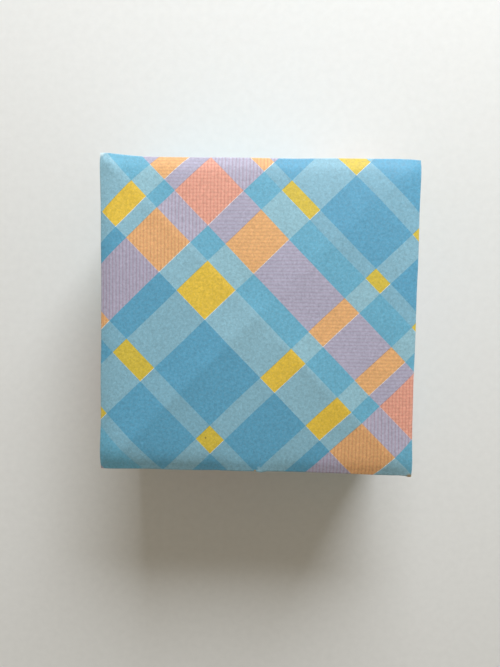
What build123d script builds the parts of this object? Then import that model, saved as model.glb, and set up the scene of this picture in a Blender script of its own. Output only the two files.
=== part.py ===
"""A masu box: an open paper box folded from one square sheet, standing mouth down on its rim.

The sheet lies with its corners on the X and Y axes. Its creases are at quarters of its half diagonal,
so the base is two quarters wide and the walls are one quarter high. From the base's edge each wall goes
down to the rim, doubles back up its inside and ends in one of the sheet's corners, a tip that lies flat
under the base with its point at the middle. The two side walls, at +X and -X, are two layers thick.
At each vertical corner both layers of a side wall turn into the end wall and are folded over on
themselves, along a crease that runs from the base's corner to the middle of the rim. So at both ends
of an end wall six layers lie on each other.

Origin: middle of the box's footprint, on the surface it stands on. +Z is up, towards the base.
Lengths are in millimetres. All radii are to the middle of the paper.
"""

import os
from math import sqrt

from build123d import *

# The sheet
sheet_side = 150.0
paper = 0.1

# How tightly it is folded
layer_gap = 0.1
base_bend = 0.3
inner_bend = 0.2

# What stays open where the folded points come together
rim_middle_gap = 1.0
tip_middle_gap = 0.4

# The fold pattern
quarter = sheet_side / sqrt(2) / 4
pitch = paper + layer_gap
end_layers = 6
rim_height = paper / 2 + (end_layers - 1) / 2 * pitch
base_height = paper / 2 + quarter
side_tip_height = base_height - pitch
end_tip_height = base_height - 2 * pitch


def layer(count):
    """How far from the middle of the box a wall's layer stands, counted inwards from the outermost."""
    return quarter - count * pitch


# The vertical corner: the side wall's two layers turn about one axis, just inside the end wall's fold
corner_bend = inner_bend + pitch
corner_x = quarter - corner_bend
corner_y = layer(2) - corner_bend
end_half_width = layer(end_layers / 2 - 0.5)
base_flat = quarter - base_bend

# The corner's crease, from the middle of the rim up to the corner of the base
crease_foot = Vector(rim_middle_gap / 2, 0, rim_height)
crease_head = Vector(corner_x, 0, base_height - base_bend)
crease_line = (crease_head - crease_foot).normalized()
crease_out = crease_line.cross(Vector(0, 1, 0))
crease_length = (end_half_width - crease_foot.X) / crease_line.X
fold_height = crease_length * crease_line.Z


def rim_fold(outer, inner, outer_top, inner_top):
    """The line of a wall's section, from the top of one layer down round the rim to the top of another."""
    Line((outer, outer_top), (outer, rim_height))
    CenterArc(((outer + inner) / 2, rim_height), (outer - inner) / 2, 0, -180)
    Line((inner, rim_height), (inner, inner_top))


def wall_section(plane, outer, inner, tip_height):
    """The whole section of a wall, from the flat of the base to the flat of the tip."""
    with BuildSketch(plane) as section:
        with BuildLine():
            CenterArc((outer - base_bend, base_height - base_bend), base_bend, 90, -90)
            rim_fold(outer, inner, base_height - base_bend, tip_height - inner_bend)
            CenterArc((inner - inner_bend, tip_height - inner_bend), inner_bend, 0, 90)
        trace(line_width=paper)
    return section.sketch


def edge_section(outer):
    """The section, level with the rim's centre, of the ridge that joins two layers at the end wall's edge."""
    with BuildSketch(Plane.XY.offset(rim_height)) as section:
        with BuildLine():
            Polyline(
                (end_half_width, layer(outer)),
                (end_half_width + pitch / 2, layer(outer + 0.5)),
                (end_half_width, layer(outer + 1)),
            )
        trace(line_width=paper)
    return section.sketch


# A side wall and its tip
with BuildPart() as side_wall:
    extrude(wall_section(Plane.XZ, layer(0), layer(1), side_tip_height), amount=corner_y, both=True)
    with BuildSketch(Plane.XY.offset(side_tip_height - paper / 2)):
        with BuildLine():
            Polyline(
                (tip_middle_gap / 2, 0),
                (layer(1) - inner_bend, corner_y),
                (layer(1) - inner_bend, -corner_y),
                close=True,
            )
        make_face()
    extrude(amount=paper)

# The corner at +X +Y: the side wall's two layers turned in, folded along the crease and turned back
with BuildPart() as corner:
    # The flaps of the side wall's layers, inside those that hang from the end wall
    with BuildSketch(Plane.YZ.offset(corner_x)):
        with BuildLine():
            rim_fold(layer(2), layer(3), crease_head.Z, side_tip_height - inner_bend)
        trace(line_width=paper)
    extrude(amount=crease_foot.X - corner_x)
    # The flaps of the end wall's layers
    with BuildSketch(Plane.YZ.offset(end_half_width)):
        with BuildLine():
            rim_fold(layer(1), layer(4), crease_head.Z, crease_head.Z)
        trace(line_width=paper)
    extrude(amount=crease_foot.X - end_half_width)
    # Both are cut off along the crease: outside the rim it is a fold, inside it is the sheet's edge
    with BuildSketch(Plane.XZ.offset(-quarter)):
        with BuildLine():
            Polyline(
                (crease_foot.X, crease_foot.Z),
                (crease_head.X, crease_head.Z),
                (crease_foot.X, crease_head.Z),
                close=True,
            )
        make_face()
    extrude(amount=quarter - layer(end_layers - 1), mode=Mode.SUBTRACT)
    # The fold along the crease joins the second layer to the third
    with BuildSketch(Plane(crease_foot + Vector(0, layer(1.5), 0), x_dir=crease_out, z_dir=crease_line)):
        with BuildLine():
            CenterArc((0, 0), pitch / 2, -90, 180)
        trace(line_width=paper)
    extrude(amount=crease_length)
    # The end wall's edge, pressed to a ridge that runs down its outside, over the rim and up its inside
    for outer in (0, end_layers - 2):
        extrude(edge_section(outer), amount=fold_height)
    revolve(edge_section(0), axis=Axis((0, layer(2.5), rim_height), (-1, 0, 0)), revolution_arc=180)
    # The side wall's section, and the edge of the base with it, turned through the corner
    with BuildSketch(Plane.XZ.offset(-corner_y)):
        with BuildLine():
            Line((corner_x, base_height), (base_flat, base_height))
            CenterArc((base_flat, base_height - base_bend), base_bend, 90, -90)
            rim_fold(layer(0), layer(1), base_height - base_bend, side_tip_height - inner_bend)
        trace(line_width=paper)
    revolve(axis=Axis((corner_x, corner_y, 0), (0, 0, 1)), revolution_arc=90)

# An end wall with its tip and the folded corners at both its ends
with BuildPart() as end_wall:
    section = wall_section(Plane.YZ, layer(0), layer(end_layers - 1), end_tip_height)
    extrude(section, amount=end_half_width, both=True)
    with BuildSketch(Plane.XY.offset(end_tip_height - paper / 2)):
        with BuildLine():
            Polyline(
                (0, tip_middle_gap / 2),
                (end_half_width, layer(end_layers - 1) - inner_bend),
                (-end_half_width, layer(end_layers - 1) - inner_bend),
                close=True,
            )
        make_face()
    extrude(amount=paper)
    add(corner.part)
    mirror(corner.part, about=Plane.YZ)

# The whole sheet
with BuildPart() as masu_box:
    with BuildSketch(Plane.XY.offset(base_height - paper / 2)):
        Rectangle(2 * base_flat, 2 * corner_y)
        Rectangle(2 * end_half_width, 2 * base_flat)
    extrude(amount=paper)
    add(side_wall.part)
    mirror(side_wall.part, about=Plane.YZ)
    add(end_wall.part)
    mirror(end_wall.part, about=Plane.XZ)

masu_box.part.label = "masu_box"
os.makedirs("parts", exist_ok=True)
export_step(masu_box.part, "parts/masu_box.step")

sheet_volume = sheet_side**2 * paper
print("solids", len(masu_box.part.solids()), "valid", masu_box.part.is_valid)
print("paper used", round(masu_box.part.volume / sheet_volume, 4), "of the flat sheet")
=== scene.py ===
"""A masu box, folded from one square of printed origami paper, standing mouth down on a pale table.

The box is folded here the way it is by hand: a flat square is creased, its creases are turned one after
another, and the folded sheet then gets the slack, the print and the worn edges of a real one. The unit is
the metre, so lengths are written in millimetres and multiplied by mm.
"""

from math import atan2, cos, pi, radians, sin, sqrt

import bpy
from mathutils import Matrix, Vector
from mathutils.geometry import intersect_point_line


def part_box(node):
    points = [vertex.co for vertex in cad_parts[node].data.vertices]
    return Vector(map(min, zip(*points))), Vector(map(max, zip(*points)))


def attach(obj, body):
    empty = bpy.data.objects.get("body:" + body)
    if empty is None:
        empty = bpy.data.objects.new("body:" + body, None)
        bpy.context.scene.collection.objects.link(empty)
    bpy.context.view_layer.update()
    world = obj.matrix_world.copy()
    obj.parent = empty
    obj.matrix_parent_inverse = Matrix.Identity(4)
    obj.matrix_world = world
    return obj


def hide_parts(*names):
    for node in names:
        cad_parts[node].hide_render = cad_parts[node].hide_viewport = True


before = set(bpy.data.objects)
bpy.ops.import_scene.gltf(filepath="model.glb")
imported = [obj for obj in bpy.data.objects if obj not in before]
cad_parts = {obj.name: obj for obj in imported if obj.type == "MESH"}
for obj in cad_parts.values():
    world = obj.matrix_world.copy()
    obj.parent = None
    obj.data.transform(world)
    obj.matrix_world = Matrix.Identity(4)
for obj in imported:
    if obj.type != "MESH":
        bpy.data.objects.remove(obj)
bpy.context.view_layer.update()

# The flat sheet: one 150 mm square of origami paper, 0.1 mm thick, lying print side up at the height of the
# base, with its corners on the X and Y axes. It is creased with the fingers, with no cut and no glue.
# Only the part at +X +Y is folded, and the rest is its mirror image. The edges are cut back by what the
# thickness of the folds takes up, so that the four points meet at the middle.
mm = 0.001
paper = 0.1 * mm
pitch = 0.2 * mm
edge_trim = 1.38 * mm
quarters_across = 8
cells_per_quarter = 24
nearly = 0.001 * mm
cut_threshold = 1e-3 * nearly

low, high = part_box("masu_box")
quarter = (high.x - low.x - paper) / 2
base_height = high.z - paper / 2

bpy.ops.object.select_all(action="DESELECT")
bpy.ops.mesh.primitive_grid_add(
    x_subdivisions=quarters_across * cells_per_quarter,
    y_subdivisions=quarters_across * cells_per_quarter,
    size=quarters_across * quarter,
)
sheet = bpy.context.object
sheet.name = "folded_sheet"
sheet.data.name = "folded_sheet"
sheet.location.z = base_height
bpy.ops.object.transform_apply(location=True)


def select(parts, chosen):
    """Selects the vertices or faces of the sheet that are chosen, and nothing else."""
    bpy.ops.object.mode_set(mode="EDIT")
    bpy.ops.mesh.select_all(action="DESELECT")
    bpy.ops.object.mode_set(mode="OBJECT")
    parts.foreach_set("select", chosen)
    bpy.ops.object.mode_set(mode="EDIT")


def cut(point, across, part, clear=False):
    """Cuts the faces of one part of the flat sheet along a straight line, and may clear what is beyond."""
    select(sheet.data.polygons, [part(face.center.x, face.center.y) for face in sheet.data.polygons])
    bpy.ops.mesh.bisect(
        plane_co=(*point, base_height), plane_no=(*across, 0), clear_outer=clear, threshold=cut_threshold
    )
    bpy.ops.object.mode_set(mode="OBJECT")


def whole(x, y):
    """All of the sheet."""
    return True


def side_part(x, y):
    """The part that a side wall is folded from, up to the diagonal."""
    return y <= x + nearly


def end_part(x, y):
    """The part that an end wall is folded from, beyond the diagonal."""
    return y > x + nearly


cut((0, 0), (-1, 0), whole, clear=True)
cut((0, 0), (0, -1), whole, clear=True)
cut((quarters_across / 2 * quarter - edge_trim, 0), (1, 1), whole, clear=True)
cut((0, 0), (1, -1), whole)

# The creases of both walls: the tip, the rim and the base's edge, each a bend that starts where the straight
# before it ends. The side wall is two layers thick, and the end wall six, so its rim is wider.
base_bend = 0.3 * mm
inner_bend = 0.2 * mm
corner_bend = inner_bend + pitch
side_layers = 2
end_layers = 6
rim_height = paper / 2 + (end_layers - 1) / 2 * pitch
base_crease = quarter - base_bend
rim_crease = base_crease + base_bend * pi / 2 + base_height - base_bend - rim_height
inner_rise = base_height - inner_bend - rim_height
side_rim_bend = (side_layers - 1) / 2 * pitch
side_tip_crease = rim_crease + pi * side_rim_bend + inner_rise - pitch
end_rim_bend = (end_layers - 1) / 2 * pitch
end_tip_crease = rim_crease + pi * end_rim_bend + inner_rise - 2 * pitch

# The vertical corner: the side wall's layers turn round it, and the end wall's are folded back just outside
edge_crease = quarter - (end_layers - 1) / 2 * pitch
corner_crease = quarter - 2 * pitch - corner_bend


def side_beyond_base(x, y):
    """The part that becomes the side wall's two layers, between the base and the tip."""
    return side_part(x, y) and quarter < x < side_tip_crease


def end_beyond_base(x, y):
    """The part that becomes the end wall's layers and its tip."""
    return end_part(x, y) and y > quarter


# Each crease: whether it lies at a place along X (0) or Y (1), where it starts, its radius, its angle, how
# many flats make it up, the axis that it turns about, and the part of the sheet that it turns. Each wall's
# outermost crease is folded first.
creases = (
    (0, side_tip_crease, inner_bend, -90, 3, "Y", side_part),
    (0, rim_crease, side_rim_bend, 180, 6, "Y", side_part),
    (0, base_crease, base_bend, 90, 4, "Y", side_part),
    (1, corner_crease, corner_bend, 90, 4, "Z", side_beyond_base),
    (0, edge_crease, pitch / 2, 180, 6, "Y", end_beyond_base),
    (1, end_tip_crease, inner_bend, 90, 3, "X", end_part),
    (1, rim_crease, end_rim_bend, -180, 8, "X", end_part),
    (1, base_crease, base_bend, -90, 4, "X", end_part),
)


def crease_lines(start, radius, angle, flats):
    """The places of the lines that bound a crease's flats, from where it starts outwards."""
    width = radius * radians(abs(angle))
    return [start + width * flat / flats for flat in range(flats + 1)]


for along, start, radius, angle, flats, axis, part in creases:
    for place in crease_lines(start, radius, angle, flats):
        cut((place, 0) if along == 0 else (0, place), (1, 0) if along == 0 else (0, 1), part)

# A narrow flat on each side of the corner's diagonal crease, and the waste at the sheet's edge that would
# be caught in the turn of the corner
crease_flat = pi * pitch / 4
cut((crease_flat * sqrt(2), 0), (1, -1), side_beyond_base)
cut((0, crease_flat * sqrt(2)), (1, -1), end_beyond_base)
select(
    sheet.data.polygons,
    [face.center.x > side_tip_crease and face.center.y > corner_crease for face in sheet.data.polygons],
)
bpy.ops.mesh.delete(type="FACE")
bpy.ops.object.mode_set(mode="OBJECT")

# The folding: what lies beyond each line turns by its share of the crease's angle, the two outer lines by
# half a share. The side wall already hangs down when it is turned round the vertical corner. With no
# window, transform.rotate turns the other way, so its angle is negative.
flat_sheet = [vertex.co.copy() for vertex in sheet.data.vertices]
for along, start, radius, angle, flats, axis, part in creases:
    hinge_x = quarter if axis == "Z" else 0
    for flat, place in reversed(list(enumerate(crease_lines(start, radius, angle, flats)))):
        share = 1 / 2 if flat in (0, flats) else 1
        select(
            sheet.data.vertices,
            [co[along] > place + nearly and part(co.x, co.y) for co in flat_sheet],
        )
        bpy.ops.transform.rotate(
            value=-radians(angle) * share / flats,
            orient_axis=axis,
            center_override=(place, 0, base_height) if along == 0 else (hinge_x, place, base_height),
        )

# The diagonal crease itself stands midway between the two layers that it joins
select(sheet.data.vertices, [abs(co.x - co.y) < nearly and co.x > quarter for co in flat_sheet])
bpy.ops.transform.translate(value=(0, pitch / 2, 0))
bpy.ops.object.mode_set(mode="OBJECT")

# The other three quarters of the box, with the print carried on across the middle lines
for mirrored, use_axis in (("X", (True, False, False)), ("Y", (False, True, False))):
    mirror = sheet.modifiers.new("other_half_" + mirrored, "MIRROR")
    mirror.use_axis = use_axis
    mirror.use_mirror_u = mirrored == "X"
    mirror.use_mirror_v = mirrored == "Y"
    mirror.merge_threshold = nearly
    bpy.ops.object.modifier_apply(modifier=mirror.name)

bpy.ops.object.mode_set(mode="EDIT")
bpy.ops.mesh.select_all(action="SELECT")
bpy.ops.mesh.normals_make_consistent(inside=False)
bpy.ops.object.mode_set(mode="OBJECT")

# The slack of a real box, folded by hand from springy paper: the base rises along its old creases and rolls
# over at its edges, and the corners stand out where the layers push. Each pull is a straight line on the
# box, how near to it the paper is taken hold of, which way that is moved, and how far off the paper around
# it gives, all in millimetres. Far and near are the top and the bottom of the photograph.
side = quarter / mm
top = base_height / mm
edge = base_crease / mm
by_crease = 0.1
by_edge = 0.45
by_corner = 0.9


def over_base(from_x, from_y, to_x, to_y):
    """A line across the top of the box."""
    return (from_x, from_y, top), (to_x, to_y, top)


def down_corner(x, y):
    """The uppermost 2 mm of a vertical corner."""
    return (x, y, top), (x, y, top - 2)


far_edge = over_base(-edge, edge, edge, edge)
near_edge = over_base(-edge, -edge, edge, -edge)
left_edge = over_base(-edge, -edge, -edge, edge)
right_edge = over_base(edge, -edge, edge, edge)

risen_creases = (
    (over_base(3 - side, 3 - side, 0, 0), by_crease, (0, 0, 0.42), 7.0),
    (over_base(4, 4, side - 3, side - 3), by_crease, (0, 0, 0.18), 7.0),
    (over_base(3 - side, side - 3, 0, 0), by_crease, (0, 0, 0.15), 4.5),
    (over_base(4, -4, side - 3, 3 - side), by_crease, (0, 0, 0.4), 8.0),
)

# The long reaches crown the base, and the short ones roll its edges over
rolled_edges = (
    (far_edge, by_edge, (0, 0, -0.3), 3.5),
    (far_edge, by_edge, (0, 0, -0.7), 24.0),
    (over_base(6, edge, edge, edge), by_edge, (0, 0, -0.5), 16.0),
    (over_base(6, -edge, edge, -edge), by_edge, (0, 0, -0.4), 20.0),
    (near_edge, by_edge, (0, 0, -0.8), 24.0),
    (near_edge, by_edge, (0, 0, -0.25), 3.5),
    (over_base(-edge, -edge, -6, -edge), by_edge, (0, 0, -0.45), 4.0),
    (left_edge, by_edge, (0, 0, -0.3), 4.0),
    (right_edge, by_edge, (0, 0, -0.35), 4.0),
    *((line, by_edge, (0, 0, -0.25), 1.4) for line in (far_edge, near_edge, left_edge, right_edge)),
)

# The near wall's upper edge stands out with its corners. The last of these is the ear at the far left corner.
pushed_corners = (
    (down_corner(side, side), by_corner, (0.5, 0.05, 0), 13.0),
    (down_corner(side, -side), by_corner, (0.65, -0.12, 0), 15.0),
    (down_corner(-side, side), by_corner, (-0.4, 0, 0), 13.0),
    (down_corner(-side, -side), by_corner, (-0.5, 0, 0), 14.0),
    (over_base(-side, -side, side, -side), 0.6, (0, -0.28, 0), 12.0),
    (down_corner(-side, side), by_corner, (-0.05, 0.85, 0), 11.0),
)

# The crease that runs into that ear, the near left corner, the small ear at the near right one, and the dent
# and the bump above it where creases meet in the middle of the near edge
small_bends = (
    (over_base(3 - side, side - 3, 0.4 - side, side - 0.4), by_crease, (0, 0, 0.25), 1.3),
    (((-side, -side, top), (-side, -side, top - 1)), 0.6, (-0.1, -0.3, 0), 6.0),
    (((side - 0.5, -side, top - 0.2), (side - 0.3, -side, top - 1.2)), 0.35, (0, -0.4, 0), 1.5),
    (((0.9, -side, top - 0.8), (0.9, -side, top - 1.2)), 0.7, (0, -0.12, 0), 1.3),
    (over_base(0.9, 0.4 - edge, 0.9, 1.2 - edge), 0.7, (0, 0, 0.3), 1.2),
)

unpulled = [vertex.co.copy() for vertex in sheet.data.vertices]
for line, hold, move, reach in risen_creases + rolled_edges + pushed_corners + small_bends:
    line_start, line_end = [Vector(point) * mm for point in line]
    held = []
    for place in unpulled:
        share = intersect_point_line(place, line_start, line_end)[1]
        foot = line_start.lerp(line_end, min(max(share, 0), 1))
        held.append((place - foot).length < hold * mm)
    select(sheet.data.vertices, held)
    bpy.ops.transform.translate(
        value=Vector(move) * mm,
        use_proportional_edit=True,
        proportional_edit_falloff="SHARP",
        proportional_size=reach * mm,
    )
    bpy.ops.object.mode_set(mode="OBJECT")

# Broad waves in the walls and a fine unevenness in the paper, by place, so that the layers keep their order
for name, wave, depth in (("springy_walls", 22 * mm, 0.4 * mm), ("uneven_paper", 5 * mm, 0.04 * mm)):
    waves = bpy.data.textures.new(name, "CLOUDS")
    waves.noise_scale = wave
    waves.cloud_type = "COLOR"
    uneven = sheet.modifiers.new(name, "DISPLACE")
    uneven.texture = waves
    uneven.texture_coords = "LOCAL"
    uneven.direction = "RGB_TO_XYZ"
    uneven.strength = depth
    bpy.ops.object.modifier_apply(modifier=uneven.name)

# The thickness, with the bare paper on the sheet's back and at its cut edges
smooth_below = radians(40)
thickness = sheet.modifiers.new("paper", "SOLIDIFY")
thickness.thickness = paper
thickness.offset = 0
thickness.material_offset = 1
thickness.material_offset_rim = 1
bpy.ops.object.modifier_apply(modifier=thickness.name)
bpy.ops.object.shade_smooth_by_angle(angle=smooth_below)

# The waves lift some of the rim and press the rest down, so the box is set down again on the table
lowest = min(vertex.co.z for vertex in sheet.data.vertices)
bpy.ops.object.mode_set(mode="EDIT")
bpy.ops.mesh.select_all(action="SELECT")
bpy.ops.transform.translate(value=(0, 0, low.z - lowest))
bpy.ops.object.mode_set(mode="OBJECT")


def linear(hex_colour):
    """An sRGB hex colour as the linear values that a shader takes."""
    shares = [int(hex_colour[place : place + 2], 16) / 255 for place in (1, 3, 5)]
    return [s / 12.92 if s <= 0.04045 else ((s + 0.055) / 1.055) ** 2.4 for s in shares] + [1]


# The print: origami paper, offset printed on its outside with a plaid whose stripes run along the sheet's
# edges, so that they cross the box at 45 degrees. It repeats every 50 mm. The blue inks and the warm inks
# are two plates, a little out of register, which leaves a pale line on one side of each warm cell and a
# green one on the other. To the eye the paper is matt, with a soft sheen towards the window.
printed_paper = bpy.data.materials.new("printed_origami_paper")
printed_paper.use_nodes = True
tree = printed_paper.node_tree


def set_inputs(node, inputs):
    """Gives each input of a node its value or its link."""
    for name, value in inputs.items():
        if isinstance(value, bpy.types.NodeSocket):
            tree.links.new(value, node.inputs[name])
        else:
            node.inputs[name].default_value = value


def add_node(kind, settings, inputs):
    """Adds a node to the tree at hand with its settings and its inputs."""
    node = tree.nodes.new(kind)
    for name, value in settings.items():
        setattr(node, name, value)
    set_inputs(node, inputs)
    return node


def maths(operation, *values):
    """A sum with numbers."""
    return add_node("ShaderNodeMath", {"operation": operation}, dict(enumerate(values))).outputs[0]


def vector_maths(operation, *values):
    """A sum with places, done on each of X, Y and Z."""
    return add_node("ShaderNodeVectorMath", {"operation": operation}, dict(enumerate(values))).outputs[0]


def scaled(vector, scale):
    """Places or a colour, scaled."""
    return add_node("ShaderNodeVectorMath", {"operation": "SCALE"}, {0: vector, "Scale": scale}).outputs[0]


def separated(vector):
    """The X, Y and Z of places."""
    return add_node("ShaderNodeSeparateXYZ", {}, {0: vector}).outputs


def remapped(value, given, wanted, interpolation="LINEAR"):
    """A number moved from a given range to the wanted one, and kept within it."""
    return add_node(
        "ShaderNodeMapRange",
        {"interpolation_type": interpolation},
        {
            "Value": value,
            "From Min": given[0],
            "From Max": given[1],
            "To Min": wanted[0],
            "To Max": wanted[1],
        },
    ).outputs[0]


def noise(places, scale, detail, roughness=0.5, distortion=0.0):
    """Cloudy noise, of about as many patches to a unit as its scale."""
    return add_node(
        "ShaderNodeTexNoise",
        {},
        {
            "Vector": places,
            "Scale": scale,
            "Detail": detail,
            "Roughness": roughness,
            "Distortion": distortion,
        },
    ).outputs["Fac"]


def blend(factor, first, second, how="MIX"):
    """Two colours blended."""
    return add_node(
        "ShaderNodeMix",
        {"data_type": "RGBA", "blend_type": how},
        {"Factor": factor, "A": first, "B": second},
    ).outputs[2]


def relief(height, strength, depth):
    """A surface's small ups and downs."""
    return add_node(
        "ShaderNodeBump", {}, {"Height": height, "Strength": strength, "Distance": depth}
    ).outputs[0]


# Places on the flat sheet in millimetres, from its middle: X to the right and Y up on the box's base
sheet_width = quarters_across * side
unfolded = add_node("ShaderNodeUVMap", {"uv_map": "UVMap"}, {}).outputs["UV"]
on_sheet = scaled(vector_maths("SUBTRACT", unfolded, (0.5, 0.5, 0)), sheet_width)

# The same turned, so that X runs across the stripes that rise to the right, and Y across those that fall,
# with the print a little askew on the sheet, and in the print's own millimetres, which come out a little
# shorter on the paper
print_turn = radians(45.6)
print_shrink = 0.994
on_print = add_node(
    "ShaderNodeMapping",
    {},
    {"Vector": on_sheet, "Rotation": (0, 0, print_turn), "Scale": [1 / print_shrink] * 3},
).outputs[0]

# The stripes: each one's width in millimetres and its number. The falling ones are the ground (0), the warmer
# ground beside the lilac (1), the narrow light (2), the wide light (3) and the lilac (4); the rising ones are
# the ground (0), the light (1) and the lilac (2).
print_repeat = 50.0
falling_start = -32.5
falling_stripes = ((2.3, 2), (8.1, 0), (3.3, 2), (11.9, 0), (7.3, 3), (4.2, 1), (8.1, 4), (4.8, 1))
falling_lilac = 4
falling_kinds = 5
rising_start = -24.8
rising_stripes = ((8.0, 2), (4.2, 0), (6.8, 1), (13.6, 0), (3.4, 1), (7.8, 0), (3.5, 1), (2.7, 0))
rising_lilac = 2
rising_kinds = 3
cell_kinds = rising_kinds * falling_kinds


def banded(share, bands):
    """The colour of the band that a share falls in. A band is the share it starts at and its colour."""
    node = add_node("ShaderNodeValToRGB", {}, {0: share})
    ramp = node.color_ramp
    ramp.interpolation = "CONSTANT"
    ramp.elements.remove(ramp.elements[1])
    for count, (start, band_colour) in enumerate(bands):
        band = ramp.elements[0] if count == 0 else ramp.elements.new(start)
        band.position = start
        band.color = band_colour
    return node.outputs["Color"]


def stripe_share(place, start, stripes, step):
    """The number of the stripe at a place, times the step, as a share of the number of kinds of cell."""
    share = maths("FRACT", maths("DIVIDE", maths("SUBTRACT", place, start), print_repeat))
    reached = 0
    bands = []
    for width, number in stripes:
        bands.append((reached / print_repeat, [number * step / cell_kinds] * 3 + [1]))
        reached += width
    return banded(share, bands)


def plate(places, inks):
    """One printing plate, which lays an ink on each kind of cell."""
    across = separated(places)
    falling = stripe_share(across["Y"], falling_start, falling_stripes, 1)
    rising = stripe_share(across["X"], rising_start, rising_stripes, falling_kinds)
    middle_of_cell = maths("ADD", maths("ADD", falling, rising), 0.5 / cell_kinds)
    in_order = [ink for row in inks for ink in row]
    return banded(middle_of_cell, [(count / cell_kinds, linear(ink)) for count, ink in enumerate(in_order)])


# The inks, a row for each rising stripe and in it one for each falling stripe, in the order of their numbers
none = "#FFFFFF"
cool_inks = (
    ("#5098B7", "#5FA5BF", "#77A9BC", "#87B5C5", "#A6A0B4"),
    ("#7EADBE", "#8AB6C3", none, none, none),
    ("#A39AAE", "#A9A0B3", none, none, none),
)
warm_inks = (
    (none, none, none, none, none),
    (none, none, "#CDB433", "#E0BC37", "#DDA56A"),
    (none, none, "#DAA168", "#DBA16A", "#D8937E"),
)
out_of_register = (-0.038, 0.01, 0)
warm_places = vector_maths("SUBTRACT", on_print, out_of_register)
colour = blend(1.0, plate(on_print, cool_inks), plate(warm_places, warm_inks), "MULTIPLY")

# The lilac stripes are ruled with fine pink lines 0.58 mm apart: strong upright ones on the rising stripes
# and fainter level ones on the falling ones, both on the cells where they cross. The sheet's own X and Y
# run across them. Each colour is a share of the ink's own red, green and blue.
line_spacing = 0.583
strong_gap = (1.06, 1.15, 1.13, 1)
strong_line = (0.94, 0.84, 0.86, 1)
faint_gap = (1.04, 1.08, 1.07, 1)
faint_line = (0.95, 0.91, 0.92, 1)


def ruled(ink, across_lines, place, start, stripes, lilac, gap, line):
    """The ink with fine lines ruled over the lilac among the stripes."""
    only_lilac = [(width, 1 if number == lilac else 0) for width, number in stripes]
    stripe = stripe_share(place, start, only_lilac, cell_kinds)
    wave = maths("SINE", maths("MULTIPLY", across_lines, 2 * pi / line_spacing))
    return blend(stripe, ink, blend(wave, gap, line), "MULTIPLY")


across = separated(on_sheet)
crossed = separated(on_print)
colour = ruled(
    colour, across["X"], crossed["X"], rising_start, rising_stripes, rising_lilac, strong_gap, strong_line
)
colour = ruled(
    colour, across["Y"], crossed["Y"], falling_start, falling_stripes, falling_lilac, faint_gap, faint_line
)

# Where the sheet is folded, at each whole quarter from the middle, the ink cracks off in flecks along the
# fold and the white paper shows. The first fold out is the base's edge, the next the rim, the next the
# tip's, and there is none at the middle itself. The two folds that cross the base are pressed flat again,
# and are worn only where they run into its corners.
bare_white = "#F2F1EC"
wear_fades = 0.35
wear_full = 0.05
fade_from_corner = 0.12
flecks_per_mm = 0.9
fleck_range = (0.42, 0.68)
most_worn = 0.12
half = (0.5, 0.5, 0)
quarters_out = vector_maths("ABSOLUTE", scaled(on_sheet, 1 / side))
past_fold = vector_maths("SUBTRACT", vector_maths("FRACTION", vector_maths("ADD", quarters_out, half)), half)
not_middle = vector_maths("MULTIPLY_ADD", quarters_out, (-2, -2, 0), (1, 1, 0))
from_fold = separated(vector_maths("MAXIMUM", vector_maths("ABSOLUTE", past_fold), not_middle))
nearer = maths("MINIMUM", from_fold["X"], from_fold["Y"])
out = separated(quarters_out)
from_cross = maths("ABSOLUTE", maths("SUBTRACT", out["X"], out["Y"]))
into_corner = maths("MULTIPLY_ADD", nearer, fade_from_corner, from_cross)
nearest = maths("MINIMUM", nearer, into_corner)
on_fold = remapped(nearest, (wear_fades / side, wear_full / side), (0, 1))
flecks = noise(on_sheet, flecks_per_mm, detail=4.0, roughness=0.7)
fleck = remapped(flecks, fleck_range, (0, most_worn))
colour = blend(maths("MULTIPLY", on_fold, fleck), colour, linear(bare_white))

# The paper's fibres take the ink unevenly: cloudy patches of a few millimetres, and felted flecks of about
# 0.5 mm, which are coarser than a real fibre's width so that they show. Some are lighter or darker, some let
# the white paper through the ink, and all stand up a little, which breaks the sheen.
clouds_per_mm = 0.35
fibres_per_mm = 2.1
bare_specks_per_mm = 2.6
bare_speck_range = (0.35, 0.75)
most_bare = 0.05
cloud_contrast = 0.12
fibre_contrast = 0.8
roughness_range = (0.5, 0.75)
fibre_relief = 0.5
fibre_depth = 0.03 * mm
clouds = noise(on_sheet, clouds_per_mm, detail=3.0)
fibres = noise(on_sheet, fibres_per_mm, detail=2.0, roughness=0.7, distortion=0.8)
bare_specks = noise(on_sheet, bare_specks_per_mm, detail=2.0, roughness=0.7)
thin_ink = remapped(bare_specks, bare_speck_range, (0, most_bare))
colour = blend(thin_ink, colour, linear(bare_white))
for uneven, contrast in ((clouds, cloud_contrast), (fibres, fibre_contrast)):
    colour = scaled(colour, remapped(uneven, (0, 1), (1 - contrast / 2, 1 + contrast / 2)))

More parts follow.
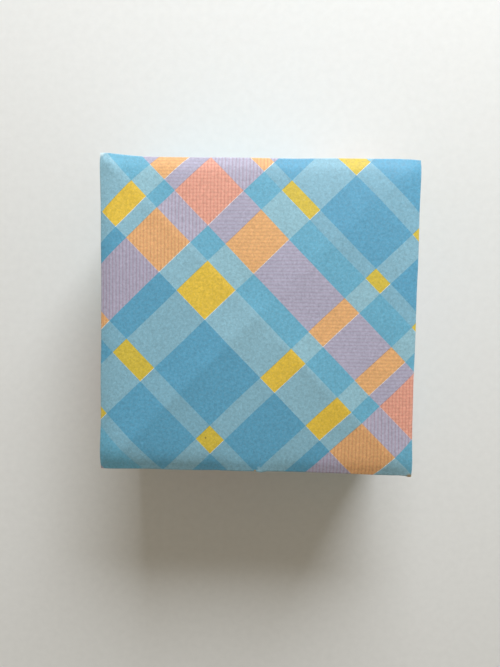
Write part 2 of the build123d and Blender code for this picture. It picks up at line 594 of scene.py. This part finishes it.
# Small marks: two specks of dirt caught in the paper; a painted highlight where creases meet at the middle of
# the base's near edge; pale marks at the far left tip and along its crease, partly worn ink and partly
# painted highlight; and the yellow of two cells beyond the edge, where it just comes over it, the one at the
# near right corner darkened as painted shade. Each is a place on the sheet, how far it reaches, how much of
# the print it hides, and its colour.
dirt = "#3A3526"
# The pale blue and the near-white are painted highlight, and at the far left tip partly also worn ink
highlight_and_worn_ink = "#A4D3E6"
highlight_and_worn_tip = "#E4F5F7"
yellow_ink = "#D2A43E"
shaded_yellow_ink = "#A67F33"
for place, reach, hides, mark_colour in (
    ((-8.5, -20.6, 0), 0.22, 0.75, dirt),
    ((0.95, -24.2, 0), 0.16, 0.4, dirt),
    # Painted highlight where the creases meet at the middle of the near edge
    ((0.75, -26.4, 0), 0.65, 0.7, highlight_and_worn_ink),
    ((0.75, -25.7, 0), 0.35, 0.5, highlight_and_worn_ink),
    # Partly worn ink, partly painted highlight at the far left tip and along its crease
    ((-26.3, 26.4, 0), 0.7, 0.6, highlight_and_worn_tip),
    ((-25.5, 25.6, 0), 0.5, 0.35, highlight_and_worn_ink),
    ((0.1, -26.35, 0), 0.25, 0.8, yellow_ink),
    # A darker copy of the yellow: painted shade on the cell beyond the near right corner
    ((26.1, -26.6, 0), 0.7, 0.9, shaded_yellow_ink),
):
    off_mark = add_node("ShaderNodeVectorMath", {"operation": "DISTANCE"}, {0: on_sheet, 1: place})
    mark = remapped(off_mark.outputs["Value"], (reach, reach / 3), (0, hides))
    colour = blend(mark, colour, linear(mark_colour))

set_inputs(
    tree.nodes["Principled BSDF"],
    {
        "Base Color": colour,
        "Roughness": remapped(fibres, (0, 1), roughness_range),
        "Normal": relief(fibres, fibre_relief, fibre_depth),
    },
)
sheet.data.materials.append(printed_paper)

# The back of the sheet, bare white paper, which shows only at its cut edges and in the slits of the folds.
# To the eye it is dull and faintly creamy, with the same felted fibres.
bare_paper = bpy.data.materials.new("bare_white_paper")
bare_paper.use_nodes = True
tree = bare_paper.node_tree
felt_per_mm = 2.4
cream = "#E2DFD6"
pale_cream = "#F8F7F2"
dull_roughness = 0.7
unfolded = add_node("ShaderNodeUVMap", {"uv_map": "UVMap"}, {}).outputs["UV"]
felt = noise(unfolded, felt_per_mm * sheet_width, detail=2.0)
set_inputs(
    tree.nodes["Principled BSDF"],
    {
        "Base Color": blend(felt, linear(cream), linear(pale_cream)),
        "Roughness": dull_roughness,
        "Normal": relief(felt, fibre_relief, fibre_depth),
    },
)
sheet.data.materials.append(bare_paper)

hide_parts("masu_box")
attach(sheet, "root")

# The table: a board sprayed with pale matt paint, level and plain, whose fine orange-peel skin only breaks up
# the light a little. Well away from the box it is seen as running on to plain white.
table_width = 3000 * mm
skin_grain = 1.5 * mm
skin_relief = 0.3
skin_depth = 0.02 * mm
paint = "#DDDDD9"
pale_paint = "#E5E5E1"
paint_roughness = 0.8
white_starts = 130 * mm
white_beyond = 420 * mm
bpy.ops.object.select_all(action="DESELECT")
bpy.ops.mesh.primitive_plane_add(size=table_width, location=(0, 0, low.z))
table = bpy.context.object
table.name = "pale_table"
pale_board = bpy.data.materials.new("pale_painted_board")
pale_board.use_nodes = True
tree = pale_board.node_tree
on_table = add_node("ShaderNodeTexCoord", {}, {}).outputs["Object"]
skin = noise(on_table, 1 / skin_grain, detail=2.0)
surface = tree.nodes["Principled BSDF"]
set_inputs(
    surface,
    {
        "Base Color": blend(skin, linear(paint), linear(pale_paint)),
        "Roughness": paint_roughness,
        "Normal": relief(skin, skin_relief, skin_depth),
    },
)


def seen_directly():
    """Whether a ray is the camera's own, or one that it sends off or through a glossy surface."""
    rays = add_node("ShaderNodeLightPath", {}, {})
    seen = rays.outputs["Is Camera Ray"]
    for kind in ("Is Glossy Ray", "Is Transmission Ray"):
        seen = maths("MAXIMUM", seen, rays.outputs[kind])
    return seen


from_middle = add_node("ShaderNodeVectorMath", {"operation": "LENGTH"}, {0: on_table}).outputs["Value"]
far_off = remapped(from_middle, (white_starts, white_beyond), (0, 1), "SMOOTHSTEP")
plain_white = add_node("ShaderNodeEmission", {}, {"Color": (1, 1, 1, 1), "Strength": 1.0})
board = add_node(
    "ShaderNodeMixShader",
    {},
    {0: maths("MULTIPLY", far_off, seen_directly()), 1: surface.outputs[0], 2: plain_white.outputs[0]},
)
set_inputs(tree.nodes["Material Output"], {"Surface": board.outputs[0]})
table.data.materials.append(pale_board)

# The window's soft daylight, from beyond the top of the photograph and a little to the right, and the warmer,
# weaker light that the room gives back. The room itself is seen as plain white.
window_turn = radians(12.5)
window_distance = 400 * mm
window_height = 250 * mm
window_width = 300 * mm
window_rise = 200 * mm
window_power = 3.2
window_light = "#F3F8FF"
room_power = 0.31
room_light = "#FFF1DA"
bpy.ops.object.light_add(
    type="AREA",
    location=(window_distance * sin(window_turn), window_distance * cos(window_turn), window_height),
    rotation=(-atan2(window_distance, window_height - high.z), 0, -window_turn),
)
window = bpy.context.object
window.name = "window"
window.data.shape = "RECTANGLE"
window.data.size = window_width
window.data.size_y = window_rise
window.data.energy = window_power
window.data.color = linear(window_light)[:3]
window.visible_camera = False
room = bpy.data.worlds.new("soft_room")
room.use_nodes = True
tree = room.node_tree
fill = [room_power * share for share in linear(room_light)]
set_inputs(tree.nodes["Background"], {"Color": blend(seen_directly(), fill, (1, 1, 1, 1))})
bpy.context.scene.world = room

# The camera: a phone held just above the box, nearly straight down, where the four corners of the base
# fall as in the photograph
camera_place = (1.47 * mm, 2.13 * mm, 113.17 * mm)
camera_turn = (radians(-3.239), radians(1.776), radians(0.851))
camera_lens = 27.95
nearest_seen = 1 * mm
bpy.ops.object.camera_add(location=camera_place, rotation=camera_turn)
camera = bpy.context.object
camera.data.lens = camera_lens
camera.data.clip_start = nearest_seen
bpy.context.scene.camera = camera
bpy.context.scene.view_settings.view_transform = "Standard"
